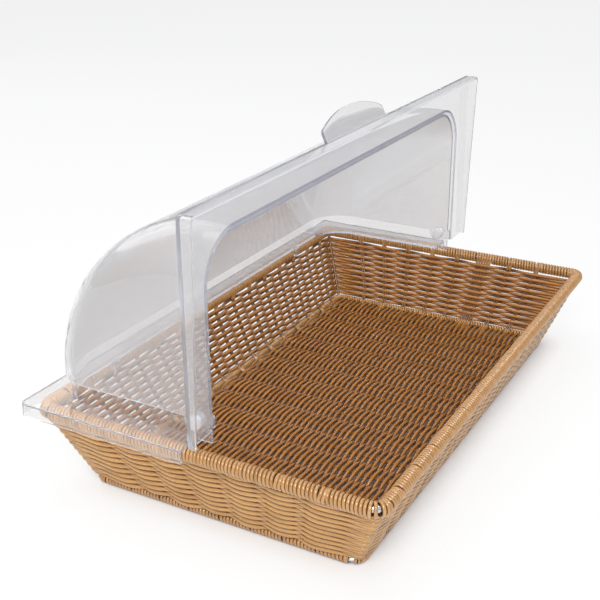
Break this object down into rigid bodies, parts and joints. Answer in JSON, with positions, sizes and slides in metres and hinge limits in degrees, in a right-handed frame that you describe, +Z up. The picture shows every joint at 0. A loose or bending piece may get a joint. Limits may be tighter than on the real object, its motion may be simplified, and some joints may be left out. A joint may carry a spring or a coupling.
{
  "type": "countertop bread display bin",
  "caption": "Woven countertop display basket on bent wire rings under a clear roll-top cover: the front hood turns back over the rear hood, and the whole cover lifts off.",
  "frame": {"origin": "on the table, at the bottom centre of the basket, midway between its wire rings' sides", "axes": "+X along the long sides, +Z up, the cover's open front faces -Y"},
  "size_m": [0.564, 0.3362, 0.3032],
  "materials": {
    "outer_wicker": "woven round plastic rattan, honey brown, light satin sheen",
    "inner_wicker": "woven round plastic rattan, deeper orange brown inside, light satin sheen",
    "steel_wire": "bright drawn steel wire",
    "clear_cover": "clear moulded polycarbonate, polished",
    "clear_fittings": "clear moulded plastic pins and caps, slightly frosted"
  },
  "bodies": {
    "basket": {"base_wire": "steel_wire", "rim_wire": "steel_wire", "base_wrap_front": "outer_wicker", "base_wrap_rear": "outer_wicker", "base_wrap_left": "outer_wicker", "base_wrap_right": "outer_wicker", "rim_wrap_front": "outer_wicker", "rim_wrap_rear": "outer_wicker", "rim_wrap_left": "outer_wicker", "rim_wrap_right": "outer_wicker", "weave_front": "outer_wicker", "weave_rear": "outer_wicker", "weave_left": "outer_wicker", "weave_right": "outer_wicker", "rim_corner_wraps": "outer_wicker", "floor_stakes": "inner_wicker", "floor_weave": "inner_wicker", "corner_posts": "inner_wicker", "stakes_front": "inner_wicker", "stakes_rear": "inner_wicker", "stakes_left": "inner_wicker", "stakes_right": "inner_wicker"},
    "rear_cover": {"rear_hood": "clear_cover", "pivot_pin_left": "clear_fittings", "pivot_pin_right": "clear_fittings", "pivot_cap_left": "clear_fittings", "pivot_cap_right": "clear_fittings"},
    "front_cover": {"front_hood": "clear_cover"}
  },
  "joints": [
    {"name": "cover_lift", "type": "slide", "parent": "basket", "child": "rear_cover", "axis": [0, 0, 1], "range_m": [0, 0.15]},
    {"name": "hood_roll", "type": "hinge", "parent": "rear_cover", "child": "front_cover", "pos_m": [0, 0.0065, 0.103], "axis": [1, 0, 0], "range_deg": [0, 91]}
  ]
}
